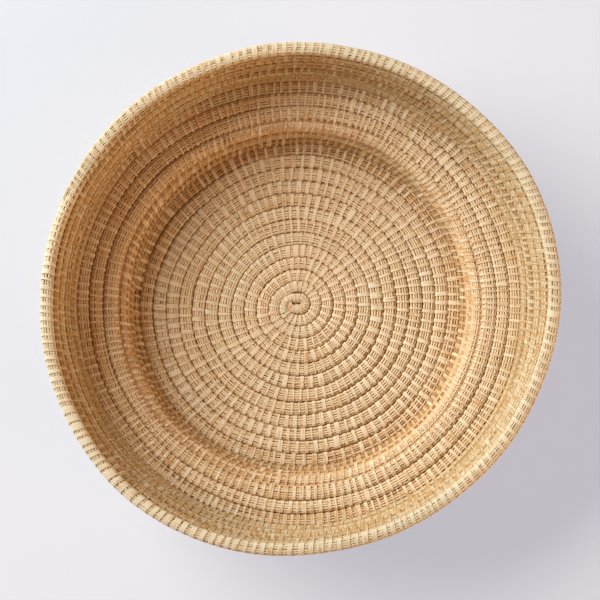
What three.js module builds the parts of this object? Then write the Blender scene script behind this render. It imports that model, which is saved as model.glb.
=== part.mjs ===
// A coiled palm fibre basket: a flat base, a low wall, a ledge and a higher wall that ends in a rim.
// One bundle of grass stems winds outward from a start knot, row beside row, and is cut here into the
// stretches that a maker would name. The palm strips that sew the rows together are not modelled.
// Millimetres, +Z up. The basket stands on Z = 0 with its axis on Z.

import * as THREE from "three";

// The bundle
const ROW_PITCH = 8.9; // from the middle of one row to the next, measured along the wall
const ROW_GAP = 0.75; // between two rows
const BUNDLE_THICKNESS = 8.6; // across the wall
const END_GAP = 0.3; // where one stretch of the bundle meets the next

// The profile, along the middle of the bundle, from corner to corner before the corners are bent round
const BASE_RADIUS = 117.5;
const LOWER_WALL_HEIGHT = 23.5;
const LEDGE_WIDTH = 34.0;
const UPPER_WALL_HEIGHT = 39.5;
const LOWER_WALL_TILT = THREE.MathUtils.degToRad(77);
const LEDGE_TILT = THREE.MathUtils.degToRad(6);
const UPPER_WALL_TILT = THREE.MathUtils.degToRad(76);
const FOOT_BEND = 9.0;
const SHOULDER_BEND = 11.0;
const UPPER_FOOT_BEND = 10.0;

// The rim is a little oval, as a hand made one is
const RIM_OVAL = 2.6; // how far its long radius passes its mean radius
const RIM_LONG_ANGLE = THREE.MathUtils.degToRad(31);

// The winding: rows of the base climb evenly, and towards the rim the climb gathers in one sector
const FIRST_ROW_RADIUS = 11.3; // the middle of the bundle where it leaves the knot
const STEP_ANGLE = THREE.MathUtils.degToRad(135); // the middle of that sector
const STEP_SPAN_ANGLE = THREE.MathUtils.degToRad(80);
const TAIL_SIZE = 0.15; // the share of the bundle's section at the end of the tail
const STEPS_PER_TURN = 24;

// The knot
const KNOT_EDGE_ROUND = 1.4;
const KNOT_CROWN_INSET = 3.6;
const KNOT_CROWN = 0.5; // how far its crown stands above the rows
const KNOT_DIMPLE = 1.6; // how far the eye in its middle sinks below its crown

const TURN = 2 * Math.PI;
const HALF_WIDTH = (ROW_PITCH - ROW_GAP) / 2;
const HALF_THICKNESS = BUNDLE_THICKNESS / 2;

// The profile is a chain of straight runs and bends, each with its length, start, tilt and curvature.
function makeProfile() {
  const tilts = [0, LOWER_WALL_TILT, LEDGE_TILT, UPPER_WALL_TILT];
  const bends = [FOOT_BEND, SHOULDER_BEND, UPPER_FOOT_BEND];
  const runs = [
    BASE_RADIUS,
    LOWER_WALL_HEIGHT / Math.sin(LOWER_WALL_TILT),
    LEDGE_WIDTH / Math.cos(LEDGE_TILT),
    UPPER_WALL_HEIGHT / Math.sin(UPPER_WALL_TILT),
  ];
  const corners = bends.map((bend, i) => {
    const turned = tilts[i + 1] - tilts[i];
    const slope = Math.tan(Math.abs(turned) / 2);
    const room = Math.min(runs[i], runs[i + 1]) / 2;
    const radius = Math.min(bend, room / slope);
    return { turned, radius, setback: radius * slope };
  });
  const pieces = [];
  const cornerMiddles = [];
  let place = { length: 0, r: 0, z: HALF_THICKNESS, tilt: 0 };
  const add = (length, curvature) => {
    const piece = { ...place, curvature, end: place.length + length };
    pieces.push(piece);
    place = { length: piece.end, ...placeOn(piece, piece.end) };
  };
  runs.forEach((run, i) => {
    const before = i > 0 ? corners[i - 1].setback : 0;
    const after = i < corners.length ? corners[i].setback : 0;
    add(run - before - after, 0);
    if (i < corners.length) {
      const arc = Math.abs(corners[i].turned) * corners[i].radius;
      cornerMiddles.push(place.length + arc / 2);
      add(arc, Math.sign(corners[i].turned) / corners[i].radius);
    }
  });
  return { pieces, cornerMiddles, length: place.length };
}

// Radius, height and tilt at a distance along one piece of the profile
function placeOn(piece, length) {
  const along = length - piece.length;
  if (piece.curvature === 0) {
    return {
      r: piece.r + along * Math.cos(piece.tilt),
      z: piece.z + along * Math.sin(piece.tilt),
      tilt: piece.tilt,
    };
  }
  const tilt = piece.tilt + along * piece.curvature;
  return {
    r: piece.r + (Math.sin(tilt) - Math.sin(piece.tilt)) / piece.curvature,
    z: piece.z - (Math.cos(tilt) - Math.cos(piece.tilt)) / piece.curvature,
    tilt,
  };
}

const profile = makeProfile();
const [footLength, shoulderLength, upperFootLength] = profile.cornerMiddles;
const rimLength = profile.length;

// Turns are counted so that the bundle comes level with the rim in the step before turn rimTurn
const rimTurn = Math.ceil((rimLength - FIRST_ROW_RADIUS) / ROW_PITCH);
const startTurn = rimTurn - (rimLength - FIRST_ROW_RADIUS) / ROW_PITCH;
const stepShare = STEP_SPAN_ANGLE / TURN;

function angleAt(turn) {
  return turn * TURN + STEP_ANGLE - TURN / 2;
}

// The share of the step to the next row that is done at this part of the turn
function stepDone(turn) {
  const part = turn - Math.floor(turn);
  return THREE.MathUtils.smoothstep(part, (1 - stepShare) / 2, (1 + stepShare) / 2);
}

// The middle of the bundle at a turn: its distance along the profile and the share of its full section
function bundleAt(turn) {
  const part = turn - Math.floor(turn);
  const gathered = THREE.MathUtils.clamp(turn / (rimTurn - 1), 0, 1);
  const climbed = turn + gathered * (stepDone(turn) - part);
  const length = rimLength - ROW_PITCH * (rimTurn - climbed);
  if (turn <= rimTurn || length <= rimLength) {
    return { length, share: 1 };
  }
  // The tail thins over the row that climbs under it, and its top stays level with the rim's
  const share = 1 - (length - rimLength) / (2 * HALF_WIDTH);
  return { length: rimLength + HALF_WIDTH * (1 - share), share };
}

function placeAt(length) {
  const piece = profile.pieces.find((each) => length <= each.end) ?? profile.pieces.at(-1);
  return placeOn(piece, length);
}

// The six corners of the bundle's section: flat above and below, with an edge towards each next row
const SECTION = [
  [1, 0],
  [0.5, -1],
  [-0.5, -1],
  [-1, 0],
  [-0.5, 1],
  [0.5, 1],
];

// A section as radius and height, in the half plane at its turn. Nothing reaches below the flat underside.
function sectionAt(turn) {
  const { length, share } = bundleAt(turn);
  const { r, z, tilt } = placeAt(length);
  const up = THREE.MathUtils.clamp((length - upperFootLength) / (rimLength - upperFootLength), 0, 1);
  const oval = RIM_OVAL * up * Math.cos(2 * (angleAt(turn) - RIM_LONG_ANGLE));
  return SECTION.map(([along, across]) => {
    const u = along * HALF_WIDTH * share;
    const v = across * HALF_THICKNESS * share;
    return [
      r + oval + u * Math.cos(tilt) - v * Math.sin(tilt),
      Math.max(0, z + u * Math.sin(tilt) + v * Math.cos(tilt)),
    ];
  });
}

function pointAt(angle, [r, z]) {
  return new THREE.Vector3(r * Math.cos(angle), r * Math.sin(angle), z);
}

// A ring of the tube. Between two whole steps it lies on the straight run that joins them.
function ringAt(step) {
  const before = Math.floor(step);
  const ring = (whole) => {
    const turn = whole / STEPS_PER_TURN;
    return sectionAt(turn).map((corner) => pointAt(angleAt(turn), corner));
  };
  const first = ring(before);
  if (step === before) {
    return first;
  }
  const second = ring(before + 1);
  return first.map((point, i) => point.clone().lerp(second[i], step - before));
}

// A ring starts at the edge towards the next row, and half way round is the edge towards the row before
function innerEdge(ring) {
  return ring[ring.length / 2];
}

function ringMiddle(ring) {
  return ring[0].clone().lerp(innerEdge(ring), 0.5);
}

// The length of the straight run that holds a step, along the middle of the bundle
function runLength(step) {
  const before = ringMiddle(ringAt(Math.floor(step)));
  const after = ringMiddle(ringAt(Math.floor(step) + 1));
  return before.distanceTo(after);
}

// Joins rings of equal count into one closed body. Each cap is a fan about its own middle point.
function closedBody(rings, startMiddle, endMiddle) {
  const count = rings[0].length;
  const points = [...rings.flat(), startMiddle, endMiddle];
  const faces = [];
  for (let ring = 0; ring + 1 < rings.length; ring += 1) {
    for (let side = 0; side < count; side += 1) {
      const a = ring * count + side;
      const b = ring * count + ((side + 1) % count);
      faces.push(a, b, a + count);
      faces.push(b, b + count, a + count);
    }
  }
  const start = rings.length * count;
  const end = start + 1;
  const last = start - count;
  for (let side = 0; side < count; side += 1) {
    const next = (side + 1) % count;
    faces.push(start, next, side);
    faces.push(end, last + side, last + next);
  }
  const positions = points.flatMap((point) => point.toArray());
  const geometry = new THREE.BufferGeometry();
  geometry.setAttribute("position", new THREE.Float32BufferAttribute(positions, 3));
  geometry.setIndex(faces);
  geometry.computeVertexNormals();
  return geometry;
}

// One stretch of the bundle from one step to another, with a ring at each whole step between
function stretchRings(from, to) {
  const steps = [from];
  for (let step = Math.floor(from) + 1; step < to; step += 1) {
    steps.push(step);
  }
  steps.push(to);
  return steps.map(ringAt);
}

// Cuts lie halfway along a straight run, so that the ends that meet there are straight and square
function cutStep(length) {
  const turn = rimTurn - (rimLength - length) / ROW_PITCH;
  return Math.floor(turn * STEPS_PER_TURN) + 0.5;
}

const startStep = Math.floor(startTurn * STEPS_PER_TURN) + 0.5;
const rimCut = Math.ceil((rimTurn - (1 - stepShare) / 2) * STEPS_PER_TURN) + 0.5;

function tailStep() {
  let step = rimTurn * STEPS_PER_TURN;
  while (bundleAt((step + 1) / STEPS_PER_TURN).share > TAIL_SIZE) {
    step += 1;
  }
  return step;
}

const cuts = [startStep, cutStep(footLength), cutStep(shoulderLength), cutStep(upperFootLength), rimCut];
const lastStep = tailStep();

function stretch(index) {
  const halfGap = (step) => END_GAP / 2 / runLength(step);
  const from = cuts[index] + halfGap(cuts[index]);
  const next = cuts[index + 1];
  const to = next === undefined ? lastStep : next - halfGap(next);
  const rings = stretchRings(from, to);
  return closedBody(rings, ringMiddle(rings[0]), ringMiddle(rings.at(-1)));
}

// The knot fills the first turn. Its outline widens with the bundle around it and steps back where the
// bundle leaves it.
function knotGeometry() {
  const from = startStep - END_GAP / 2 / runLength(startStep);
  const steps = [from];
  for (let step = Math.ceil(from); step < from + STEPS_PER_TURN; step += 1) {
    steps.push(step);
  }
  steps.push(from + STEPS_PER_TURN);
  const layer = (inset, z) =>
    steps.map((step) => {
      const edge = innerEdge(ringAt(step)).setZ(0);
      const r = edge.length();
      return edge.multiplyScalar((r - ROW_GAP - inset) / r).setZ(z);
    });
  const crown = BUNDLE_THICKNESS + KNOT_CROWN;
  const layers = [
    layer(KNOT_EDGE_ROUND, 0),
    layer(0, KNOT_EDGE_ROUND),
    layer(0, BUNDLE_THICKNESS - KNOT_EDGE_ROUND),
    layer(KNOT_CROWN_INSET, crown),
  ];
  const floor = new THREE.Vector3(0, 0, 0);
  const eye = new THREE.Vector3(0, 0, crown - KNOT_DIMPLE);
  return closedBody(layers, floor, eye);
}

// The least gap between neighbouring rows, corner to side, in the half planes where the sections lie
function cornerToSide([px, py], [ax, ay], [bx, by]) {
  const [dx, dy] = [bx - ax, by - ay];
  const along = ((px - ax) * dx + (py - ay) * dy) / (dx * dx + dy * dy);
  const t = THREE.MathUtils.clamp(along, 0, 1);
  return Math.hypot(px - ax - t * dx, py - ay - t * dy);
}

function sectionGap(one, other) {
  let least = Infinity;
  for (const [corners, sides] of [[one, other], [other, one]]) {
    for (const corner of corners) {
      sides.forEach((side, i) => {
        least = Math.min(least, cornerToSide(corner, side, sides[(i + 1) % sides.length]));
      });
    }
  }
  return least;
}

let leastGap = Infinity;
for (let step = Math.ceil(startStep); step + STEPS_PER_TURN <= lastStep; step += 1) {
  const here = sectionAt(step / STEPS_PER_TURN);
  const above = sectionAt(step / STEPS_PER_TURN + 1);
  leastGap = Math.min(leastGap, sectionGap(here, above));
}
console.log(`Loops: ${((lastStep - startStep) / STEPS_PER_TURN).toFixed(2)}`);
console.log(`Least gap between rows: ${leastGap.toFixed(2)} mm`);

// Dried grass and palm leaf, a little darker where the basket is handled less
function straw(color) {
  return new THREE.MeshStandardMaterial({ color, roughness: 0.75, metalness: 0 });
}

const basket = new THREE.Group();

function addPiece(name, geometry, color) {
  const mesh = new THREE.Mesh(geometry, straw(color));
  mesh.name = name;
  basket.add(mesh);
}

addPiece("start_knot", knotGeometry(), 0xe6cfa6);
addPiece("base_coil", stretch(0), 0xd3ac78);
addPiece("lower_wall_coil", stretch(1), 0xbf9160);
addPiece("ledge_coil", stretch(2), 0xd0a873);
addPiece("upper_wall_coil", stretch(3), 0xc69c66);
addPiece("rim_coil", stretch(4), 0xd9b783);

export default basket;
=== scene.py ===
import math

import bmesh
import bpy
import numpy as np
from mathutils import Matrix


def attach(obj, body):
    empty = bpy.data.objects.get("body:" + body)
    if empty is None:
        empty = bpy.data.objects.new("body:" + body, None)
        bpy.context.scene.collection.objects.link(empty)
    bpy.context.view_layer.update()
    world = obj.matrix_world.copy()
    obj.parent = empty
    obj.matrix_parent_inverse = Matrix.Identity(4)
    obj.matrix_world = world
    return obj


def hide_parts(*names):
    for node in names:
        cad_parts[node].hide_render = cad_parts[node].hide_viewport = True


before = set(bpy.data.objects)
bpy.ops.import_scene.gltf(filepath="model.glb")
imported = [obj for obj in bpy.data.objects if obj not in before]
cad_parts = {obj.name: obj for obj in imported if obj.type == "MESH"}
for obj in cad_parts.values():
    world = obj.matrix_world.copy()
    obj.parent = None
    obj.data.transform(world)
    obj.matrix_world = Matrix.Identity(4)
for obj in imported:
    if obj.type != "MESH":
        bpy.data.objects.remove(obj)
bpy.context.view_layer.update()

# A coiled palm fibre basket. One bundle of dried grass stems winds outward from a knot, row beside row,
# over a flat base, a low wall, a ledge and a higher wall, and strips of split palm leaf sew each row to
# the row before it. The solids of the bundle are replaced by its separate stems and by the strips.

MM = 0.001
# Every run draws the same stems and strips
RNG = np.random.default_rng(31)

# The bundle
ROW_PITCH = 8.9 * MM
HALF_WIDTH = 4.075 * MM
HALF_THICKNESS = 4.3 * MM
# The base lies this much above the table, so that the corner below the wall doesn't reach under it
BASE_LIFT = 0.32 * MM

# The profile along the middle of the bundle, from corner to corner before the corners are bent round
RUN_TILTS = np.radians([0.0, 77.0, 6.0, 73.3])
BASE_RADIUS = 117.5 * MM
LOWER_WALL_HEIGHT = 23.5 * MM
LEDGE_WIDTH = 32.0 * MM
UPPER_WALL_HEIGHT = 39.5 * MM
CORNER_BENDS = np.array([9.0, 11.0, 10.0]) * MM
# It is worked out in small steps, to a little beyond the rim
PROFILE_STEP = 0.02 * MM
PROFILE_BEYOND = 20 * MM

# The winding. Turns are counted as in the solids, so that a whole turn lies opposite the step in the rim.
RIM_TURN = 23
TURN_ZERO_ANGLE = math.radians(-45)
COIL_START_TURN = 0.708
# The step from a row to the next: how much of a turn it takes, where in the turn its middle lies on the base
# and on the walls, and between which turns it moves from one place to the other
STEP_SHARE = 80 / 360
BASE_STEP_PLACE = 0.583
WALL_STEP_PLACE = 0.5
STEP_MOVES_TURNS = (11.0, 15.0)
# How much of a row's climb gathers in its step: on the first rows, and more round the knot, where it fades
BASE_GATHER = 0.3
KNOT_GATHER = 0.85
KNOT_GATHER_FADES = 0.2
# The middles of the base's rows, just past the step from one to the next
BASE_ROWS_TURN = 0.708
BASE_ROW_RADII = np.array([11.5, 18.6, 26.6, 35.2, 44.0, 53.1, 62.3, 71.6, 80.8, 89.9, 99.1, 108.3]) * MM
# The least and the most room for a row, beside the usual pitch
ROOM_LIMITS = (0.86, 1.12)
# The first rows lie round the knot, which sits off the middle
KNOT_SHIFT = 1.1 * MM
KNOT_SHIFT_ENDS = 30 * MM
# The waver of hand work: how far, how often in a turn, how it moves on along the profile, and its start. It
# grows over the first rows.
WAVERS = [(0.3 * MM, 5, 60, 0.0), (0.2 * MM, 11, -90, 2.0)]
WAVER_GROWS_TO = 60 * MM

# The rim is drawn out a little on two sides, and less on three
RIM_OVAL = 2.6 * MM
RIM_OVAL_ANGLE = math.radians(31)
RIM_LOBES = 0.9 * MM
# The rim's row is turned upright, so that its top lies level
RIM_TURNED_UP = math.radians(20)
RIM_TURNS_UP = (RIM_TURN - 0.58, RIM_TURN - 0.44)
# The tail at the rim: how far it settles, from what share of its thinning to what, how thin it can get, and
# how thin it is where it ends
TAIL_SETTLES = 1.1 * MM
TAIL_SETTLING = (0.45, 0.95)
TAIL_THINNEST = 0.03
TAIL_ENDS = 0.05
# Rows that are counted on beyond the rim, and how finely the winding, its tail and a piece are searched
ROWS_BEYOND_RIM = 3
WINDING_POINTS = 4000
TAIL_POINTS = 2000
STRETCH_POINTS = 6000

# The pieces of the bundle, from cut to cut. In each: how square it is drawn, the leaf's thickness, how many
# stems lie round it, how thick beside the usual ones, and how pale the heart is that shows between them; the
# heart's darkness there is painted shade.
STRETCHES = [
    ("base", 6.5, 0.24 * MM, 15, 1.0, 0.0),
    ("lower_wall", 2.4, 0.5 * MM, 15, 0.95, 0.0),
    ("ledge", 5.5, 0.28 * MM, 15, 1.0, 0.0),
    ("upper_wall", 2.1, 0.34 * MM, 11, 1.27, 0.0),
    ("rim", 3.8, 0.4 * MM, 15, 1.0, 0.3),
]
# Along the profile in mm: how tight the sewing draws the bundle
DRAWN_TIGHT = np.array(
    [
        (0, 0.99), (30, 0.988), (60, 0.985), (106, 0.985), (118, 1.0), (130, 1.0), (138, 0.988), (157, 0.988),
        (166, 1.0),
    ]
)
# Along the profile in mm: how much paler the strips are there, how much darker the stems, and how much
# of the cool tint both take. The two corners are darker as painted shade, the steep walls darker and cooler
# as painted shade against the strong light on them, and the rim paler and cooler as painted light on its top.
ROW_TONES_AND_PAINTED_LIGHT = np.array(
    [
        (0, 0.36, -0.1, 0.0), (60, 0.24, -0.06, 0.0), (102, 0.2, -0.04, 0.0), (111, -0.2, 0.4, 0.1),
        (118, -0.45, 0.55, 0.5), (130, -0.4, 0.5, 0.4), (138, -0.06, 0.0, 0.0), (150, -0.05, 0.0, 0.0),
        (157, -0.09, 0.1, 0.0), (164, -0.12, 0.25, 0.3), (172, -0.6, 0.33, 0.95), (202, -0.5, 0.31, 0.95),
        (207, 0.3, -0.15, 0.8),
    ]
)


def linear(hex_colour):
    """A colour written as sRGB hex, as the linear values that Blender's shaders take."""
    values = [int(hex_colour[i : i + 2], 16) / 255 for i in (1, 3, 5)]
    return [v / 12.92 if v <= 0.04045 else ((v + 0.055) / 1.055) ** 2.4 for v in values] + [1.0]


def add(tree, kind, links=None, **settings):
    """Adds a node with its settings. Each named input is linked if it is given a socket, or a node, which
    stands for its first output, and is set if not."""
    node = tree.nodes.new(kind)
    for name, value in settings.items():
        setattr(node, name, value)
    for name, value in (links or {}).items():
        if isinstance(value, bpy.types.Node):
            value = value.outputs[0]
        if isinstance(value, bpy.types.NodeSocket):
            tree.links.new(value, node.inputs[name])
        else:
            node.inputs[name].default_value = value
    return node


# Materials

# A cooler tint with less red: some leaves have it at random, and the walls and the rim take it as painted
# light
BLEACH_AND_PAINTED_LIGHT = "#ebf6fc"
# Streaks along a stem, fibres along a leaf, and ribs across it where it lies over the stems
STREAKS_IN_RADIUS = 2.1
STREAK_LENGTH = 20 * MM
FIBRES_APART = 0.9 * MM
FIBRE_LENGTH = 12 * MM
RIBS_APART = 1.2 * MM
RIB_LENGTH = 7 * MM
# Blotches are drawn like the fibres, at this scale
BLOTCH_SCALE = 0.18
# How far each of them moves the tone, and how much the ribs stand out beside the fibres
STREAK_CONTRAST = 0.5
FIBRE_CONTRAST = 2.8
BLOTCH_CONTRAST = 0.6
RIB_CONTRAST = 1.6
RIB_RELIEF = 1.5
# How far a pattern moves on from the darkest stem to the palest, and from strip to strip
STEM_MOVES = 40.0
STRIP_MOVES = 90.0


def new_material(name, roughness, specular):
    material = bpy.data.materials.new(name)
    material.use_nodes = True
    surface = material.node_tree.nodes["Principled BSDF"]
    surface.inputs["Roughness"].default_value = roughness
    surface.inputs["Specular IOR Level"].default_value = specular
    return material, material.node_tree, surface


def dried_grass_stems():
    """Dried grass: thin round stems, brown to straw, each with its own shade and fine lengthwise streaks."""
    material, tree, surface = new_material("dried_grass_stems", 0.7, 0.2)
    shade, around, reach, painted_tint = [
        add(tree, "ShaderNodeAttribute", attribute_name=name)
        for name in ("shade", "around", "reach", "painted_tint")
    ]
    ring = add(tree, "ShaderNodeSeparateXYZ", {"Vector": around.outputs["Vector"]})
    # A streak is about 0.4 mm wide on a stem of 0.8 mm radius, and 20 mm long
    along = add(tree, "ShaderNodeMath", {0: reach.outputs["Fac"], 1: 1 / STREAK_LENGTH}, operation="MULTIPLY")
    apart = add(
        tree, "ShaderNodeMath", {0: shade.outputs["Fac"], 1: STEM_MOVES, 2: along},
        operation="MULTIPLY_ADD",
    )
    place = add(tree, "ShaderNodeCombineXYZ", {"X": ring.outputs["X"], "Y": ring.outputs["Y"], "Z": apart})
    streaks = add(tree, "ShaderNodeTexNoise", {"Vector": place, "Scale": STREAKS_IN_RADIUS, "Detail": 3.0})
    change = add(
        tree, "ShaderNodeMath",
        {0: streaks, 1: STREAK_CONTRAST, 2: -STREAK_CONTRAST / 2}, operation="MULTIPLY_ADD",
    )
    tone = add(tree, "ShaderNodeMath", {0: shade.outputs["Fac"], 1: change}, operation="ADD")
    ramp = add(tree, "ShaderNodeValToRGB", {"Fac": tone})
    # Its dark end also colours the hearts and the knot's tucked end, as painted shade
    stops = ramp.color_ramp.elements
    stops[0].color = linear("#7d5630")
    stops[1].color = linear("#f6e0b8")
    for share, hex_colour in ((0.2, "#ba8e5c"), (0.5, "#e4c292")):
        stops.new(share).color = linear(hex_colour)
    # On the walls and the rim the stems take the cool tint as painted light
    tinted_stems = add(
        tree, "ShaderNodeMix",
        {"Factor": painted_tint.outputs["Fac"], "A": ramp.outputs["Color"], "B": linear(BLEACH_AND_PAINTED_LIGHT)},
        data_type="RGBA", blend_type="MULTIPLY",
    )
    bump = add(tree, "ShaderNodeBump", {"Height": streaks, "Strength": 0.25, "Distance": 0.1 * MM})
    tree.links.new(tinted_stems.outputs["Result"], surface.inputs["Base Color"])
    tree.links.new(bump.outputs["Normal"], surface.inputs["Normal"])
    return material


def split_palm_leaf():
    """Split palm leaf, dried: pale flat strips with fine fibres along them and faint ribs where they lie over
    the stems. Each leaf has its own shade, some cooler in hue, some rosy, and it is matt with a faint sheen."""
    material, tree, surface = new_material("split_palm_leaf", 0.64, 0.28)
    strip_colour = add(tree, "ShaderNodeAttribute", attribute_name="strip_colour")
    grain = add(tree, "ShaderNodeAttribute", attribute_name="grain")
    shade = add(tree, "ShaderNodeSeparateXYZ", {"Vector": strip_colour.outputs["Vector"]})
    on_strip = add(tree, "ShaderNodeSeparateXYZ", {"Vector": grain.outputs["Vector"]})
    apart = add(tree, "ShaderNodeMath", {0: shade.outputs["Z"], 1: STRIP_MOVES}, operation="MULTIPLY")
    moved = add(tree, "ShaderNodeCombineXYZ", {"Z": apart})
    # Fibres about 0.9 mm apart and 12 mm long, and ribs about 1.2 mm apart, different on each strip
    places = []
    for breadth, length in ((FIBRES_APART, FIBRE_LENGTH), (RIB_LENGTH, RIBS_APART)):
        place = add(
            tree, "ShaderNodeVectorMath", operation="MULTIPLY_ADD",
            links={0: grain.outputs["Vector"], 1: (1 / breadth, 1 / length, 0.0), 2: moved},
        )
        places.append(place)
    # Blotches about 5 mm across and 65 mm long, so that the tone changes slowly along a strip
    blotch = add(tree, "ShaderNodeVectorMath", {0: places[0], "Scale": BLOTCH_SCALE}, operation="SCALE")
    fibres, blotches, ribs = [
        add(tree, "ShaderNodeTexNoise", {"Vector": place, "Scale": 1.0, "Detail": detail})
        for place, detail in ((places[0], 2.0), (blotch, 2.0), (places[1], 1.0))
    ]
    tone = shade.outputs["X"]
    for pattern, contrast in ((fibres, FIBRE_CONTRAST), (blotches, BLOTCH_CONTRAST), (ribs, RIB_CONTRAST)):
        change = add(
            tree, "ShaderNodeMath", {0: pattern, 1: contrast, 2: -contrast / 2}, operation="MULTIPLY_ADD"
        )
        tone = add(tree, "ShaderNodeMath", {0: tone, 1: change}, operation="ADD")
    bare = add(
        tree, "ShaderNodeMix", {"Factor": tone, "A": linear("#d0a267"), "B": linear("#f8e6c4")},
        data_type="RGBA",
    )
    # A cast above 0 makes the leaf cooler, at random and as painted light on the walls and the rim, one below
    # 0 makes it rosy, and the cut edges are browner, as painted shade along the strips' edges
    rose = add(tree, "ShaderNodeMath", {0: shade.outputs["Y"], 1: -1.0}, operation="MULTIPLY")
    colour = bare.outputs["Result"]
    for amount, tint in (
        (shade.outputs["Y"], BLEACH_AND_PAINTED_LIGHT), (rose, "#fff0ec"), (on_strip.outputs["Z"], "#a9763f"),
    ):
        tinted = add(
            tree, "ShaderNodeMix", {"Factor": amount, "A": colour, "B": linear(tint)},
            data_type="RGBA", blend_type="MULTIPLY", clamp_factor=True,
        )
        colour = tinted.outputs["Result"]
    relief = add(tree, "ShaderNodeMath", {0: ribs, 1: RIB_RELIEF, 2: fibres}, operation="MULTIPLY_ADD")
    bump = add(tree, "ShaderNodeBump", {"Height": relief, "Strength": 0.3, "Distance": 0.15 * MM})
    tree.links.new(colour, surface.inputs["Base Color"])
    tree.links.new(bump.outputs["Normal"], surface.inputs["Normal"])
    return material


# The winding


def make_profile():
    """A fine table of length, radius, height and tilt along the profile, its corners and its whole length."""
    runs = [
        BASE_RADIUS,
        LOWER_WALL_HEIGHT / math.sin(RUN_TILTS[1]),
        LEDGE_WIDTH / math.cos(RUN_TILTS[2]),
        UPPER_WALL_HEIGHT / math.sin(RUN_TILTS[3]),
    ]
    turned = np.abs(np.diff(RUN_TILTS))
    setbacks = CORNER_BENDS * np.tan(turned / 2)
    lengths, tilts, corners = [0.0], [0.0], []
    for i, run in enumerate(runs):
        before = setbacks[i - 1] if i > 0 else 0.0
        after = setbacks[i] if i < len(setbacks) else 0.0
        lengths.append(lengths[-1] + run - before - after)
        tilts.append(RUN_TILTS[i])
        if i < len(setbacks):
            arc = turned[i] * CORNER_BENDS[i]
            corners.append(lengths[-1] + arc / 2)
            lengths.append(lengths[-1] + arc)
            tilts.append(RUN_TILTS[i + 1])
    table = np.arange(0.0, lengths[-1] + PROFILE_BEYOND, PROFILE_STEP)
    middle_tilt = np.interp(table + PROFILE_STEP / 2, lengths, tilts)
    radius = np.concatenate([[0.0], np.cumsum(np.cos(middle_tilt)) * PROFILE_STEP])[:-1]
    climb = np.concatenate([[0.0], np.cumsum(np.sin(middle_tilt)) * PROFILE_STEP])[:-1]
    tilt = np.interp(table, lengths, tilts)
    return table, radius, HALF_THICKNESS + BASE_LIFT + climb, tilt, corners, lengths[-1]


PROFILE_LENGTH, PROFILE_RADIUS, PROFILE_HEIGHT, PROFILE_TILT, CORNERS, RIM_LENGTH = make_profile()


def smooth_step(value, low, high):
    """From 0 at low to 1 at high, easing in and out."""
    share = np.clip((value - low) / (high - low), 0.0, 1.0)
    return share * share * (3 - 2 * share)


def drawn(rng, middle, spread, least, most, count=None):
    """What is drawn at random round a middle value, within limits."""
    return np.clip(rng.normal(middle, spread, count), least, most)


def climbed(turn):
    """Rows climbed at each turn. Part of a row's climb gathers in its step, and all of it at the rim."""
    part = turn - np.floor(turn)
    gathered = np.clip(BASE_GATHER + (1 - BASE_GATHER) * turn / (RIM_TURN - 1), 0.0, 1.0)
    gathered = np.maximum(gathered, KNOT_GATHER - KNOT_GATHER_FADES * (turn - COIL_START_TURN))
    place = np.interp(turn, STEP_MOVES_TURNS, (BASE_STEP_PLACE, WALL_STEP_PLACE))
    done = smooth_step(part, place - STEP_SHARE / 2, place + STEP_SHARE / 2)
    return turn + gathered * (done - part)


BASE_ROWS_CLIMBED = climbed(BASE_ROWS_TURN + np.arange(len(BASE_ROW_RADII)))
ROWS_CLIMBED = np.concatenate([BASE_ROWS_CLIMBED, [RIM_TURN, RIM_TURN + ROWS_BEYOND_RIM]])
ROWS_LENGTH = np.concatenate([BASE_ROW_RADII, [RIM_LENGTH, RIM_LENGTH + ROWS_BEYOND_RIM * ROW_PITCH]])


def bundle_at(turn):
    """The bundle's place along the profile at each turn, and its share of full size, under 1 in the tail."""
    length = np.interp(climbed(turn), ROWS_CLIMBED, ROWS_LENGTH)
    over = np.where(turn > RIM_TURN, np.maximum(length - RIM_LENGTH, 0.0), 0.0)
    share = np.maximum(1 - over / (2 * HALF_WIDTH), TAIL_THINNEST)
    settled = TAIL_SETTLES * smooth_step(1 - share, *TAIL_SETTLING)
    return np.where(over > 0, RIM_LENGTH + HALF_WIDTH * (1 - share) - settled, length), share


def angle_at(turn):
    return turn * 2 * math.pi + TURN_ZERO_ANGLE


def coil_point(turn):
    """The middle of the bundle at each turn, with the small waver of hand work."""
    length, _ = bundle_at(turn)
    angle = angle_at(turn)
    up = np.clip((length - CORNERS[2]) / (RIM_LENGTH - CORNERS[2]), 0.0, 1.0)
    oval = RIM_OVAL * np.cos(2 * (angle - RIM_OVAL_ANGLE)) + RIM_LOBES * np.cos(3 * angle)
    waver = sum(far * np.sin(often * angle + moves * length + start) for far, often, moves, start in WAVERS)
    radius = np.interp(length, PROFILE_LENGTH, PROFILE_RADIUS) + up * oval
    radius = radius + waver * np.clip(length / WAVER_GROWS_TO, 0, 1)
    height = np.interp(length, PROFILE_LENGTH, PROFILE_HEIGHT)
    near = np.clip((KNOT_SHIFT_ENDS - length) / (KNOT_SHIFT_ENDS - BASE_ROW_RADII[0]), 0.0, 1.0)
    shift = KNOT_SHIFT * near**2
    return np.stack([radius * np.cos(angle), radius * np.sin(angle) + shift, height], axis=-1)


def unit(vectors):
    return vectors / np.linalg.norm(vectors, axis=-1, keepdims=True)


def reach_along(points):
    """How far along a line each of its points lies."""
    return np.concatenate([[0.0], np.cumsum(np.linalg.norm(np.diff(points, axis=0), axis=1))])


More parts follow.
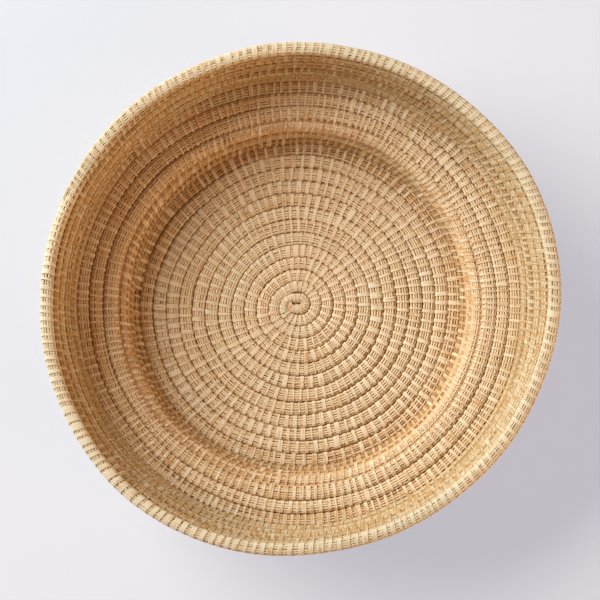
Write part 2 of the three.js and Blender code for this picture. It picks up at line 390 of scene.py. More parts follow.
def lay_frame(turn):
    """At each turn: the bundle's middle, the ways along it, to the row before, out of its face, its tilt."""
    step = 1e-4
    middle = coil_point(turn)
    along = unit(coil_point(turn + step) - coil_point(turn - step))
    tilt = np.interp(bundle_at(turn)[0], PROFILE_LENGTH, PROFILE_TILT)
    tilt = tilt + RIM_TURNED_UP * smooth_step(turn, *RIM_TURNS_UP)
    angle = angle_at(turn)
    inner = -np.stack([np.cos(tilt) * np.cos(angle), np.cos(tilt) * np.sin(angle), np.sin(tilt)], axis=-1)
    inner = unit(inner - along * np.sum(inner * along, axis=-1, keepdims=True))
    return middle, along, inner, np.cross(along, inner), tilt


def at_row(turn, table, column=1):
    """What a table along the profile says at each turn."""
    return np.interp(bundle_at(turn)[0] / MM, table[:, 0], table[:, column])


def row_room(turn):
    """The room between the rows before and after, beside the usual pitch: the first rows lie closer."""
    return np.clip((bundle_at(turn + 0.5)[0] - bundle_at(turn - 0.5)[0]) / ROW_PITCH, *ROOM_LIMITS)


def row_breadth(turn):
    """How broad the row is beside a full one. On flat ground it is drawn tight and leaves a groove."""
    return row_room(turn) * at_row(turn, DRAWN_TIGHT)


def turn_at_length(length):
    """The turn at which the bundle has come this far along the profile."""
    turns = np.linspace(COIL_START_TURN, RIM_TURN, WINDING_POINTS)
    return float(np.interp(length, bundle_at(turns)[0], turns))


def tail_end_turn():
    turns = np.linspace(RIM_TURN, RIM_TURN + 1, TAIL_POINTS)
    return float(turns[np.argmax(bundle_at(turns)[1] < TAIL_ENDS)])


# A cut lies in each corner, and one where the step up to the rim ends
CUT_TURNS = [COIL_START_TURN] + [turn_at_length(c) for c in CORNERS]
CUT_TURNS += [RIM_TURN - (1 - STEP_SHARE) / 2, tail_end_turn()]


def counted(first, last, per_turn):
    """Turns from first to last, and how many things lie before each if per_turn of them fall in a turn."""
    fine = np.linspace(first, last, STRETCH_POINTS)
    density = per_turn(fine)
    return fine, np.concatenate([[0.0], np.cumsum((density[1:] + density[:-1]) / 2 * np.diff(fine))])


def spaced_turns(first, last, per_turn):
    """Turns from first to last, so close that per_turn of them fall in each whole turn."""
    fine, count = counted(first, last, per_turn)
    return np.interp(np.linspace(0.0, count[-1], int(round(count[-1])) + 1), count, fine)


# Making pieces


def new_object(name, data):
    obj = bpy.data.objects.new(name, data)
    bpy.context.scene.collection.objects.link(obj)
    return obj


def give(mesh, name, values):
    """Stores a number or a vector for each point of a mesh."""
    values = np.asarray(values, np.float32)
    kind, field = ("FLOAT", "value") if values.ndim == 1 else ("FLOAT_VECTOR", "vector")
    mesh.attributes.new(name, kind, "POINT").data.foreach_set(field, values.ravel())


def set_to_work(obj, tree, inputs):
    """Runs a tree of geometry nodes on an object, and keeps the result as a plain mesh."""
    worker = obj.modifiers.new("work", "NODES")
    worker.node_group = tree
    for item in tree.interface.items_tree:
        if item.in_out == "INPUT" and item.name in inputs:
            worker[item.identifier] = inputs[item.name]
    graph = bpy.context.evaluated_depsgraph_get()
    mesh = bpy.data.meshes.new_from_object(
        obj.evaluated_get(graph), preserve_all_data_layers=True, depsgraph=graph
    )
    obj.modifiers.clear()
    obj.data = mesh


def new_tree(name, inputs, output):
    """A tree of geometry nodes with its named inputs and its output, and the node that gives the inputs."""
    tree = bpy.data.node_groups.new(name, "GeometryNodeTree")
    for label, kind in inputs.items():
        tree.interface.new_socket(label, in_out="INPUT", socket_type=f"NodeSocket{kind}")
    tree.interface.new_socket(output, in_out="OUTPUT", socket_type="NodeSocketGeometry")
    return tree, add(tree, "NodeGroupInput")


def stem_tree():
    """Turns lines into round stems, as thick at each point as its thickness says."""
    inputs = {"Lines": "Geometry", "Sides": "Int", "Finish": "Material"}
    tree, given = new_tree("round_stems", inputs, "Stems")
    thickness = add(tree, "GeometryNodeInputNamedAttribute", {"Name": "thickness"}, data_type="FLOAT")
    line = add(tree, "GeometryNodeMeshToCurve", {"Mesh": given.outputs["Lines"]})
    sides = given.outputs["Sides"]
    ring = add(tree, "GeometryNodeCurvePrimitiveCircle", {"Resolution": sides, "Radius": 1.0})
    spot = add(tree, "GeometryNodeInputPosition")
    marked = add(
        tree, "GeometryNodeStoreNamedAttribute", data_type="FLOAT_VECTOR", domain="POINT",
        links={"Geometry": ring, "Name": "around", "Value": spot},
    )
    swept = add(
        tree, "GeometryNodeCurveToMesh",
        {
            "Curve": line,
            "Profile Curve": marked,
            "Scale": thickness,
            "Fill Caps": True,
        },
    )
    smooth = add(tree, "GeometryNodeSetShadeSmooth", {"Geometry": swept})
    real = add(tree, "GeometryNodeRealizeInstances", {"Geometry": smooth})
    finish = given.outputs["Finish"]
    painted = add(tree, "GeometryNodeSetMaterial", {"Geometry": real, "Material": finish})
    add(tree, "NodeGroupOutput", {"Stems": painted})
    return tree


# On a tight turn a strip keeps at least this share of its width
NARROWEST = 0.22


def sewing_tree():
    """Lays a strip at each point, bent to the row there.
    A strip's own attributes: spot (share of its width, way towards the row before, way out of the face) and
    pull (share of its lean, share of its stride to the next stitch, share of the fold into the row before).
    A point's attributes: along, inner and face, the ways at the row; make (width, lean, stride) and
    bend (tightness of the row's turn, fold between this row and the one before, how far the leaf spreads)."""
    inputs = {"Points": "Geometry", "Strip": "Object", "Groove": "Float", "Finish": "Material"}
    tree, given = new_tree("sew_strips", inputs, "Strips")
    strip = add(tree, "GeometryNodeObjectInfo", {"Object": given.outputs["Strip"]})
    laid = add(
        tree, "GeometryNodeInstanceOnPoints",
        {"Points": given.outputs["Points"], "Instance": strip.outputs["Geometry"]},
    )
    real = add(tree, "GeometryNodeRealizeInstances", {"Geometry": laid})
    spot, pull, along, inner, face, make, bend = [
        add(tree, "GeometryNodeInputNamedAttribute", {"Name": name}, data_type="FLOAT_VECTOR")
        for name in ("spot", "pull", "along", "inner", "face", "make", "bend")
    ]
    pulled = add(tree, "ShaderNodeSeparateXYZ", {"Vector": pull})
    made = add(tree, "ShaderNodeSeparateXYZ", {"Vector": make})
    bent = add(tree, "ShaderNodeSeparateXYZ", {"Vector": bend})
    # The end beyond the groove turns with the row before
    groove = add(tree, "ShaderNodeCombineXYZ", {"X": 0.0, "Y": given.outputs["Groove"], "Z": 0.0})
    fold = add(tree, "ShaderNodeMath", {0: pulled.outputs["Z"], 1: bent.outputs["Y"]}, operation="MULTIPLY")
    folded = add(
        tree, "ShaderNodeVectorRotate",
        {"Vector": spot, "Center": groove, "Angle": fold}, rotation_type="X_AXIS",
    )
    place = add(tree, "ShaderNodeSeparateXYZ", {"Vector": folded})
    # On a tight turn the strip is narrower towards the middle
    taper = add(tree, "ShaderNodeMath", {0: place.outputs["Y"], 1: bent.outputs["X"]}, operation="MULTIPLY")
    narrowed = add(tree, "ShaderNodeMath", {0: 1.0, 1: taper}, operation="SUBTRACT")
    widest = add(tree, "ShaderNodeMath", {0: 1.0, 1: bent.outputs["Z"]}, operation="ADD")
    kept = add(tree, "ShaderNodeClamp", {"Value": narrowed, "Min": NARROWEST, "Max": widest})
    width = add(tree, "ShaderNodeMath", {0: made.outputs["X"], 1: kept}, operation="MULTIPLY")
    lean = add(tree, "ShaderNodeMath", {0: made.outputs["Y"], 1: pulled.outputs["X"]}, operation="MULTIPLY")
    striding = add(
        tree, "ShaderNodeMath", {0: made.outputs["Z"], 1: pulled.outputs["Y"], 2: lean},
        operation="MULTIPLY_ADD",
    )
    way = add(
        tree, "ShaderNodeMath", {0: place.outputs["X"], 1: width, 2: striding},
        operation="MULTIPLY_ADD",
    )
    here = add(tree, "GeometryNodeInputPosition")
    reached = add(tree, "ShaderNodeVectorMath", {0: here, 1: spot}, operation="SUBTRACT")
    ways = ((along, way), (inner, place.outputs["Y"]), (face, place.outputs["Z"]))
    for direction, amount in ways:
        step = add(tree, "ShaderNodeVectorMath", {0: direction, "Scale": amount}, operation="SCALE")
        reached = add(tree, "ShaderNodeVectorMath", {0: reached, 1: step}, operation="ADD")
    moved = add(tree, "GeometryNodeSetPosition", {"Geometry": real, "Position": reached})
    smooth = add(tree, "GeometryNodeSetShadeSmooth", {"Geometry": moved})
    finish = given.outputs["Finish"]
    painted = add(tree, "GeometryNodeSetMaterial", {"Geometry": smooth, "Material": finish})
    add(tree, "NodeGroupOutput", {"Strips": painted})
    return tree


grass = dried_grass_stems()
leaf = split_palm_leaf()
round_stems = stem_tree()
sew_strips = sewing_tree()

# Stems

# How many lie round a usual bundle, how thick they are, and how far from its middle, on how fine a section
LANES = 15
STEM_RADIUS = 0.8 * MM
STEM_SIDES = 6
STEM_RING_WIDTH = 4.36 * MM - STEM_RADIUS
STEM_RING_THICKNESS = 4.06 * MM - STEM_RADIUS
SECTION_POINTS = 721
# Two thick strands fill the bundle, and one closes the groove to the row before; the filler is darker than
# the stems, as painted shade at the bottom of the groove
CORE_RADIUS = 2.85 * MM
CORE_APART = 1.1 * MM
GROOVE = 4.45 * MM
FILLER_RADIUS = 1.3 * MM
FILLER_SHADE = 0.45
# The tail at the rim thins from below, and keeps its breadth across the wall longer
TAIL_FLATNESS = 0.08
TAIL_THINNING = 0.25
# How a stem wanders from its lane, and how it swells: how much, over what length, and how unlike the next
WANDERS = [(0.07, 31 * MM, 2.4), (0.05, 13 * MM, 5.1)]
SWELLS = [(0.06, 47 * MM, 1.7), (0.05, 11 * MM, 4.3)]
# A stem's length in mm, its fewest points, and how much thinner it is at its ends
STEM_LENGTHS = (140, 380)
FEWEST_POINTS = 8
END_THINNING = 0.3
END_LENGTH = 4 * MM
# The usual shade, the middle, spread, least and most of a stem's difference from it, and the limits of both
STEM_SHADE = 0.8
STEM_SHADE_SPREAD = (0.0, 0.2, -0.2, 0.3)
STEM_SHADE_LIMITS = (0.2, 1.0)
# How far apart the points along a row lie, and the fewest and most of them in a turn
POINTS_APART = 7 * MM
POINTS_PER_TURN = (30, 160)


def section_spot(angle, half_width, half_thickness, squareness):
    """A point on the bundle's rounded section: away from the row before, and out of the face."""
    c, s = np.cos(angle), np.sin(angle)
    power = 2 / squareness
    return half_width * np.sign(c) * np.abs(c) ** power, half_thickness * np.sign(s) * np.abs(s) ** power


def lane_spot(lane, lanes, size, squareness):
    """A lane's point on the section. All the lanes lie equally far apart round it, thick stems further in."""
    angles = np.linspace(0.0, 2 * math.pi, SECTION_POINTS)
    sunk = STEM_RADIUS * (size - 1)
    outs, ups = section_spot(angles, STEM_RING_WIDTH - sunk, STEM_RING_THICKNESS - sunk, squareness)
    far = reach_along(np.stack([outs, ups], axis=-1))
    place = (lane + 0.5) / lanes % 1.0 * far[-1]
    return np.interp(place, far, outs), np.interp(place, far, ups)


def uneven(waves, reach, lane):
    """What a few long waves add up to along a lane."""
    return sum(much * np.sin(reach / length + unlike * lane) for much, length, unlike in waves)


def lane_stems(frames, breadth, share, reach, lane, squareness, drops, rng, lanes=LANES, size=1.0):
    """One lane of a stretch of bundle, stem after stem. Gives points, thicknesses, shades and breaks."""
    middle, _, inner, face, _ = frames
    out, up = lane_spot(lane + uneven(WANDERS, reach, lane), lanes, size, squareness)
    points = middle - inner * (out * breadth * share)[:, None] + face * (up * share**TAIL_FLATNESS)[:, None]
    swelling = 1 + uneven(SWELLS, reach, lane)
    thickness = STEM_RADIUS * size * np.maximum(breadth, 1.0) * share**TAIL_THINNING * swelling
    shades = np.empty(len(reach))
    breaks = [0]
    while breaks[-1] < len(reach) - 1:
        start = breaks[-1]
        stop = int(np.searchsorted(reach, reach[start] + rng.uniform(*STEM_LENGTHS) * MM))
        if stop > len(reach) - FEWEST_POINTS:
            stop = len(reach) - 1
        shade = STEM_SHADE - drops[start] + drawn(rng, *STEM_SHADE_SPREAD)
        shades[start : stop + 1] = np.clip(shade, *STEM_SHADE_LIMITS)
        breaks.append(stop)
    return points, thickness, shades, breaks


def stem_lines(lanes, painted_tint):
    """A mesh of open lines from (points, thickness, shades, reach, breaks) of each lane."""
    points, edges = [], []
    stored = {"thickness": [], "shade": [], "reach": [], "painted_tint": []}
    count = 0
    for lane_points, lane_thickness, lane_shades, lane_reach, breaks in lanes:
        for start, stop in zip(breaks[:-1], breaks[1:]):
            held = slice(start, stop + 1)
            size = stop + 1 - start
            ends = np.minimum(lane_reach[held] - lane_reach[start], lane_reach[stop] - lane_reach[held])
            points.append(lane_points[held])
            stored["thickness"].append(lane_thickness[held] * (1 - END_THINNING * np.exp(-ends / END_LENGTH)))
            stored["shade"].append(np.full(size, lane_shades[start]))
            stored["reach"].append(lane_reach[held])
            stored["painted_tint"].append(painted_tint[held])
            edges.append(np.stack([np.arange(size - 1), np.arange(1, size)], axis=-1) + count)
            count += size
    mesh = bpy.data.meshes.new("lines")
    mesh.from_pydata(np.concatenate(points).tolist(), np.concatenate(edges).tolist(), [])
    for label, values in stored.items():
        give(mesh, label, np.concatenate(values))
    return mesh


def row_radius(turn):
    return np.interp(bundle_at(turn)[0], PROFILE_LENGTH, PROFILE_RADIUS)


def stretch_stems(name, first, last, squareness, count, size, heart):
    """The stems of one stretch of bundle, and the strands that fill it."""
    turns = spaced_turns(
        first, last, lambda turn: np.clip(2 * math.pi * row_radius(turn) / POINTS_APART, *POINTS_PER_TURN)
    )
    frames = lay_frame(turns)
    reach = reach_along(frames[0])
    breadth, share = row_breadth(turns), bundle_at(turns)[1]
    # The stems are darker in the corners and on the walls as painted shade, and paler on the rim as painted
    # light
    drops = at_row(turns, ROW_TONES_AND_PAINTED_LIGHT, 2)
    lanes = []
    room = row_room(turns)
    # The dark hearts and the darker filler are painted shade between the stems and in the groove
    for place, radius, shade in (
        (-CORE_APART, CORE_RADIUS, heart),
        (CORE_APART, CORE_RADIUS, heart),
        (GROOVE, FILLER_RADIUS, FILLER_SHADE),
    ):
        strand = frames[0] + frames[2] * (place * room * share)[:, None]
        lanes.append((strand, radius * share, np.full(len(turns), shade), reach, [0, len(turns) - 1]))
    for lane in range(count):
        points, thickness, shades, breaks = lane_stems(
            frames, breadth, share, reach, lane, squareness, drops, RNG, count, size
        )
        lanes.append((points, thickness, shades, reach, breaks))
    # The cool tint that the walls and the rim take is painted light
    stems = new_object(name, stem_lines(lanes, at_row(turns, ROW_TONES_AND_PAINTED_LIGHT, 3)))
    set_to_work(stems, round_stems, {"Sides": STEM_SIDES, "Finish": grass})
    return stems


# Strips

# How far from the bundle's middle they lie, and the length over which they lean
STRIP_RING_WIDTH = 4.4 * MM
STRIP_RING_THICKNESS = 4.06 * MM
LEAN_REACH = 20 * MM
# A strip's section in shares of its width and thickness, and the width for which its fibres are drawn
STRIP_SECTION = [(-0.5, -0.5), (-0.39, 0.5), (0.39, 0.5), (0.5, -0.5)]
GRAIN_WIDTH = 3 * MM
# A stitch: how far round the row it goes either way in degrees, its points there, its two ends in the row
# before, and where it begins to fold and over what length
STITCH_ARC = 165
STITCH_POINTS = 13
TOOTH = np.array([(5.4, 0.1), (4.85, 0.75)]) * MM
HEEL = np.array([(4.85, -0.75), (5.4, -0.1)]) * MM
FOLD_FROM = 3.6 * MM
FOLD_LENGTH = 1.7 * MM
# A wrap of the knot goes nearly all round
WRAP_ARC = 178
WRAP_POINTS = 14
# Counted along the rows: the row's place along the profile in mm, and how many stitches go round there
STITCH_COUNTS = np.array(
    [
        (10, 20), (19, 25), (28, 33), (37, 42), (46, 50), (55, 59), (64, 68), (73, 77), (82, 86),
        (91, 92), (100, 103), (109, 113), (118, 126), (128, 152), (138, 172), (155, 175), (172, 184),
        (215, 187),
    ]
)
# And how much of the row they cover
STRIP_COVERS = np.array(
    [
        (10, 0.46), (30, 0.5), (60, 0.52), (90, 0.5), (118, 0.47), (128, 0.52), (150, 0.48), (172, 0.52),
        (200, 0.52), (207, 0.62),
    ]
)
# The most of its own room that a strip covers
WIDEST_STRIP = 0.95
# The way to the next stitch behind the row, beside their distance, and the tail's sizes in which it grows
STRIDE_SHARE = 0.9
STRIDE_GROWS = (0.1, 0.6)
# How far strips lean, on rows tilted so little and so much
LEAN_TILTS = (0.2, 1.0)
LEANS = (-0.8 * MM, -4.2 * MM)
LEAN_SPREAD = 0.6 * MM
# The tail is sewn until it is this thin beside the full bundle
SEWN_TAIL = 0.06
# Middle, spread, least and most of what is drawn for a leaf, and for each stitch beside its leaf
LEAF_PACE = (1.0, 0.12, 0.75, 1.3)
LEAF_WIDTH = (1.0, 0.12, 0.75, 1.3)
LEAF_TONE = (0.7, 0.08, 0.45, 0.9)
STITCH_PACE = (1.0, 0.14, 0.65, 1.4)
STITCH_WIDTH = (1.0, 0.2, 0.45, 1.5)
TONE_SPREAD = 0.1
CAST_SPREAD = 0.08
# How many stitches a leaf sews, its casts, bleached above 0 and rosy below, their chances and strengths
LEAF_STITCHES = (9, 30)
CASTS = [0.0, 0.45, -0.5]
CAST_CHANCES = [0.5, 0.32, 0.18]
CAST_STRENGTHS = (0.3, 1.0)


def strip_mesh(name, path, pulls, thickness):
    """A thin closed band along a path of (to the row before, out of the face) points, a little arched."""
    ahead = unit(np.gradient(path, axis=0))
    outward = np.stack([ahead[:, 1], -ahead[:, 0]], axis=-1)
    distance = reach_along(path)
    spots, grains, pull = [], [], []
    for point, normal, far, tugs in zip(path, outward, distance, pulls):
        for across, high in STRIP_SECTION:
            raised = point + normal * high * thickness
            spots.append((across, raised[0], raised[1]))
            # The third value marks the underside; the sides brown towards it as painted shade along the
            # strip's edges
            grains.append((across * GRAIN_WIDTH, far, float(high < 0)))
            pull.append(tugs)
    sides = len(STRIP_SECTION)
    faces = [tuple(range(sides)), tuple(range(len(spots) - sides, len(spots)))]
    for ring in range(len(path) - 1):
        for side in range(sides):
            a, b = ring * sides + side, ring * sides + (side + 1) % sides
            faces.append((a, b, b + sides, a + sides))
    mesh = bpy.data.meshes.new(name)
    mesh.from_pydata(spots, [], faces)
    shaping = bmesh.new()
    shaping.from_mesh(mesh)
    bmesh.ops.recalc_face_normals(shaping, faces=shaping.faces)
    shaping.to_mesh(mesh)
    shaping.free()
    # Its long edges are crisp
    for edge in mesh.edges:
        edge.use_edge_sharp = edge.vertices[0] // sides != edge.vertices[1] // sides
    give(mesh, "spot", spots)
    give(mesh, "grain", grains)
    give(mesh, "pull", pull)
    return mesh


def stitch_strip(squareness, thickness):
    """From its tooth in the row before, over groove and face, round under the row and back to its heel."""
    arc = np.radians(np.linspace(STITCH_ARC, -STITCH_ARC, STITCH_POINTS))
    out, up = section_spot(arc, STRIP_RING_WIDTH, STRIP_RING_THICKNESS, squareness)
    path = np.concatenate([TOOTH, np.stack([-out, up], axis=-1), HEEL])
    # How far over the row each point lies, from its one groove to the other
    over = np.clip((GROOVE - path[:, 0]) / (2 * GROOVE), -0.2, 1.0)
    back = np.arange(len(path)) > len(TOOTH) + len(arc) // 2
    lean = np.minimum(reach_along(path) / LEAN_REACH, 1.0) - 0.5
    stride = np.where(back, 1 - over, 0.0)
    fold = np.clip((path[:, 0] - FOLD_FROM) / FOLD_LENGTH, 0.0, 1.0)
    return strip_mesh("stitch", path, np.stack([lean, stride, fold], axis=-1), thickness)


def wrap_strip():
    """Once round the bundle, for the knot."""
    arc = np.radians(np.linspace(WRAP_ARC, -WRAP_ARC, WRAP_POINTS))
    out, up = section_spot(arc, STRIP_RING_WIDTH, STRIP_RING_THICKNESS, KNOT_SQUARENESS)
    path = np.stack([-out, up], axis=-1)
    return strip_mesh("wrap", path, np.zeros((len(path), 3)), KNOT_LEAF_THICKNESS)


def leaf_runs(count, rng):
    """Pace, width and colour of each stitch. A leaf sews a dozen or two of stitches before the next begins,
    and where the leaf is broad the stitches lie further apart. The colour is tone, cast and a seed."""
    paces, widths, dyes = [], [], []
    while len(widths) < count:
        stitches = rng.integers(*LEAF_STITCHES)
        pace = drawn(rng, *LEAF_PACE)
        width = drawn(rng, *LEAF_WIDTH)
        tone = drawn(rng, *LEAF_TONE)
        cast = rng.choice(CASTS, p=CAST_CHANCES) * rng.uniform(*CAST_STRENGTHS)
        for _ in range(stitches):
            paces.append(pace * drawn(rng, *STITCH_PACE))
            widths.append(width * drawn(rng, *STITCH_WIDTH))
            stitch_tone = tone + rng.normal(0.0, TONE_SPREAD)
            stitch_cast = cast + rng.normal(0.0, CAST_SPREAD)
            dyes.append((stitch_tone, stitch_cast, rng.uniform()))
    return np.array(paces[:count]), np.array(widths[:count]), np.array(dyes[:count])


def sew(name, strip, middle, *given):
    """One piece of strips at these points."""
    mesh = bpy.data.meshes.new(name)
    mesh.from_pydata(middle.tolist(), [], [])
    for label, values in zip(("along", "inner", "face", "make", "bend", "strip_colour"), given):
        give(mesh, label, values)
    strips = new_object(name, mesh)
    set_to_work(strips, sew_strips, {"Strip": strip, "Groove": GROOVE, "Finish": leaf})
    return strips


def stitches_per_turn(turn):
    return at_row(turn, STITCH_COUNTS)


def stretch_strips(name, strip, first, last, rng):
    """The strips that sew one stretch of bundle."""
    fine, count = counted(first, last, stitches_per_turn)
    paces, widths, strip_colour = leaf_runs(int(round(count[-1])), rng)
    paces = paces * count[-1] / paces.sum()
    turns = np.interp(np.cumsum(paces) - paces / 2, count, fine)
    spacing = paces / stitches_per_turn(turns)
    # The row's tone and cool tint are painted shade in the corners and on the walls, and painted light on the
    # rim
    strip_colour[:, 0] += at_row(turns, ROW_TONES_AND_PAINTED_LIGHT, 1)
    strip_colour[:, 1] += at_row(turns, ROW_TONES_AND_PAINTED_LIGHT, 3)
    middle, along, inner, face, tilt = lay_frame(turns)
    share = bundle_at(turns)[1]
    before = np.interp(bundle_at(turns - 1)[0], PROFILE_LENGTH, PROFILE_TILT)
    stride = spacing * 2 * math.pi * row_radius(turns)
    widths = stride * np.minimum(widths * at_row(turns, STRIP_COVERS), WIDEST_STRIP)
    lean = np.interp(tilt, LEAN_TILTS, LEANS) + rng.normal(0.0, LEAN_SPREAD, len(turns))
    make = np.stack([widths, lean, stride * STRIDE_SHARE * smooth_step(share, *STRIDE_GROWS)], axis=-1)
    bend = np.stack([1 / row_radius(turns), tilt - before, np.zeros(len(turns))], axis=-1)
    # In the tail they stay as tight round the stems as elsewhere
    thinner = STEM_RING_WIDTH * share + STEM_RADIUS * share**TAIL_THINNING
    flatter = STEM_RING_THICKNESS * share**TAIL_FLATNESS + STEM_RADIUS * share**TAIL_THINNING
    inner = inner * (row_breadth(turns) * thinner / (STEM_RING_WIDTH + STEM_RADIUS))[:, None]
    face = face * (flatter / (STEM_RING_THICKNESS + STEM_RADIUS))[:, None]
    keep = share > SEWN_TAIL
    return sew(name, strip, *[values[keep] for values in (middle, along, inner, face, make, bend, strip_colour)])


# Knot

# The loop: its middle, half the slit's length, how far the bundle's middle lies from it, and its section
KNOT_MIDDLE = np.array([-1.7, 1.5]) * MM
KNOT_SLIT = 2.3 * MM
KNOT_TUBE = 3.95 * MM
KNOT_SQUARENESS = 3.2
KNOT_BREADTH = 0.79
KNOT_LEAF_THICKNESS = 0.24 * MM
KNOT_POINTS = 72
# In shares of the loop: where it begins, has its full size and leaves the slit, and its size at first
KNOT_START = -0.07
KNOT_FULL = 0.08
KNOT_LEAVES = 0.78
KNOT_START_SIZE = 0.62
# How much darker its stems are than the usual ones, as painted shade in the gaps between its wraps
KNOT_DROP = 0.4
# Its wraps: how unevenly they lie, how much deeper every second one, how far they spread outside the turn,
# their tone and its spread, and the middle, spread, least and most of their width
KNOT_WRAPS = 32
WRAP_UNEVEN = 0.08
WRAP_UNDER = 0.04
WRAP_SPREADS = 0.9
WRAP_TONE = 1.25
WRAP_TONE_SPREAD = 0.12
WRAP_WIDTH = (0.9, 0.08, 0.7, 1.05)
# The end in the slit: how deep it lies and how far it bends aside and up. In slits from the loop's middle:
# where it does so, where it begins and ends, and where it is wrapped.
SLIT_DEPTH = 0.5 * MM
TUCKED_RADIUS = 2.2 * MM
TUCKED_ASIDE = 1.4 * MM
TUCKED_UP = 2.2 * MM
TUCKED_ASIDE_FROM = (0.6, 2.0)
TUCKED_UP_FROM = (0.5, 1.3)
TUCKED_ENDS = (-2.3, 1.5)
TUCKED_WRAPPED = (-2.2, -0.75)
TUCKED_POINTS = 12
TUCKED_WRAPS = 6
TUCKED_PALER = 0.2
TUCKED_WRAP_SIZES = (1.05, 1.02)
TUCKED_WRAP_WIDTH = 1.05


def knot_size(share):
    """The loop's size beside the full bundle."""
    return KNOT_START_SIZE + (1 - KNOT_START_SIZE) * smooth_step(share, KNOT_START, KNOT_FULL)


def knot_point(share):
    """The bundle's first loop round the slit. At its end it widens, to lie beside itself as the first row."""
    end_angle = angle_at(COIL_START_TURN)
    angle = end_angle + (share - 1) * 2 * math.pi
    c, s = np.cos(angle), np.sin(angle)
    round_end = KNOT_SLIT * np.abs(c) + np.sqrt(np.maximum(KNOT_TUBE**2 - (KNOT_SLIT * s) ** 2, 0.0))
    straight = KNOT_TUBE / np.maximum(np.abs(s), 1e-6)
    radius = np.where(straight * np.abs(c) <= KNOT_SLIT, straight, round_end)
    loop = np.stack([KNOT_MIDDLE[0] + radius * c, KNOT_MIDDLE[1] + radius * s], axis=-1)
    first_row = coil_point(COIL_START_TURN + share - 1)[..., :2]
    leave = smooth_step(share, KNOT_LEAVES, 1.0)[..., None]
    flat = loop * (1 - leave) + first_row * leave
    return np.concatenate([flat, np.full(flat.shape[:-1] + (1,), HALF_THICKNESS + BASE_LIFT)], axis=-1)


def tucked_point(far):
    """The bundle's first end, tucked into the slit from the left. How far it is in is counted in slits."""
    sideways = KNOT_MIDDLE[0] + KNOT_SLIT * far
    across = KNOT_MIDDLE[1] - TUCKED_ASIDE * smooth_step(-far, *TUCKED_ASIDE_FROM)
    height = HALF_THICKNESS - SLIT_DEPTH + TUCKED_UP * smooth_step(-far, *TUCKED_UP_FROM)
    return np.stack([sideways, across, height], axis=-1)


def knot_frame(point, at):
    """Middle of the loop or the tucked end, and the ways along it, aside and up."""
    step = 1e-3
    along = unit(point(at + step) - point(at - step))
    face = unit(np.array([0.0, 0.0, 1.0]) - along * along[:, 2:])
    return point(at), along, np.cross(face, along), face, None


def knot_pieces(wrap, rng):
    """The stems of the loop and of the tucked end, and the wraps round both."""
    shares = np.linspace(KNOT_START, 1.0, KNOT_POINTS)
    frames = knot_frame(knot_point, shares)
    reach = reach_along(frames[0])
    size = knot_size(shares)
    breadth = np.full(KNOT_POINTS, KNOT_BREADTH)
    drops = np.full(KNOT_POINTS, KNOT_DROP)
    ends = [0, KNOT_POINTS - 1]
    # Its heart is dark, as painted shade between its stems
    lanes = [(frames[0], CORE_RADIUS * size, np.zeros(KNOT_POINTS), reach, ends)]
    for lane in range(LANES):
        points, thickness, shades, _ = lane_stems(
            frames, breadth, size, reach, lane, KNOT_SQUARENESS, drops, rng
        )
        lanes.append((points, thickness, shades, reach, ends))
    tucked = tucked_point(np.linspace(*TUCKED_ENDS, TUCKED_POINTS))
    radii = np.full(TUCKED_POINTS, TUCKED_RADIUS)
    # The tucked end has the darkest shade, as painted shade in the slit
    lanes.append((tucked, radii, np.zeros(TUCKED_POINTS), reach_along(tucked), [0, TUCKED_POINTS - 1]))
    stems = new_object("knot_stems", stem_lines(lanes, np.zeros(KNOT_POINTS)))
    set_to_work(stems, round_stems, {"Sides": STEM_SIDES, "Finish": grass})
    evenly = (np.arange(KNOT_WRAPS) + 0.5 + rng.normal(0.0, WRAP_UNEVEN, KNOT_WRAPS)) / KNOT_WRAPS
    at = np.interp(evenly * reach[-1], reach, shares)
    middle, along, inner, face, _ = knot_frame(knot_point, at)
    step = 0.01
    ahead = knot_frame(knot_point, at + step)[1]
    turned = np.arccos(np.clip(np.sum(along * ahead, axis=-1), -1.0, 1.0))
    tightness = turned / np.linalg.norm(knot_point(at + step) - middle, axis=-1)
    size = knot_size(at) - WRAP_UNDER * (np.arange(KNOT_WRAPS) % 2)
    _, _, strip_colour = leaf_runs(KNOT_WRAPS, rng)
    strip_colour[:, 0] = WRAP_TONE + rng.normal(0.0, WRAP_TONE_SPREAD, KNOT_WRAPS)
    strip_colour[:, 1] = np.abs(strip_colour[:, 1])
    widths = reach[-1] / KNOT_WRAPS * drawn(rng, *WRAP_WIDTH, KNOT_WRAPS)
    none = np.zeros(KNOT_WRAPS)
    make = np.stack([widths, none, none], axis=-1)
    bend = np.stack([tightness, none, none + WRAP_SPREADS], axis=-1)
    loop = (middle, along, inner * (KNOT_BREADTH * size)[:, None], face * size[:, None], make, bend, strip_colour)
    # The tucked end is wrapped too
    far = np.linspace(*TUCKED_WRAPPED, TUCKED_WRAPS)
    middle, along, inner, face, _ = knot_frame(tucked_point, far)
    size = TUCKED_RADIUS / STRIP_RING_THICKNESS * np.take(TUCKED_WRAP_SIZES, np.arange(TUCKED_WRAPS) % 2)
    make = np.zeros((TUCKED_WRAPS, 3))
    make[:, 0] = KNOT_SLIT * (far[1] - far[0]) * TUCKED_WRAP_WIDTH
    _, _, strip_colour = leaf_runs(TUCKED_WRAPS, rng)
    strip_colour[:, 0] += TUCKED_PALER
    end = (middle, along, inner * size[:, None], face * size[:, None], make, np.zeros((TUCKED_WRAPS, 3)), strip_colour)
    strips = sew("knot_strips", wrap, *[np.concatenate(pair) for pair in zip(loop, end)])
    return stems, strips


def put(piece, slot, *nodes):
    """Hangs a finished piece on the basket's body, and hides the solids that it stands for. The slot is not
    used.
    """
    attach(piece, "root")
    if nodes:
        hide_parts(*nodes)


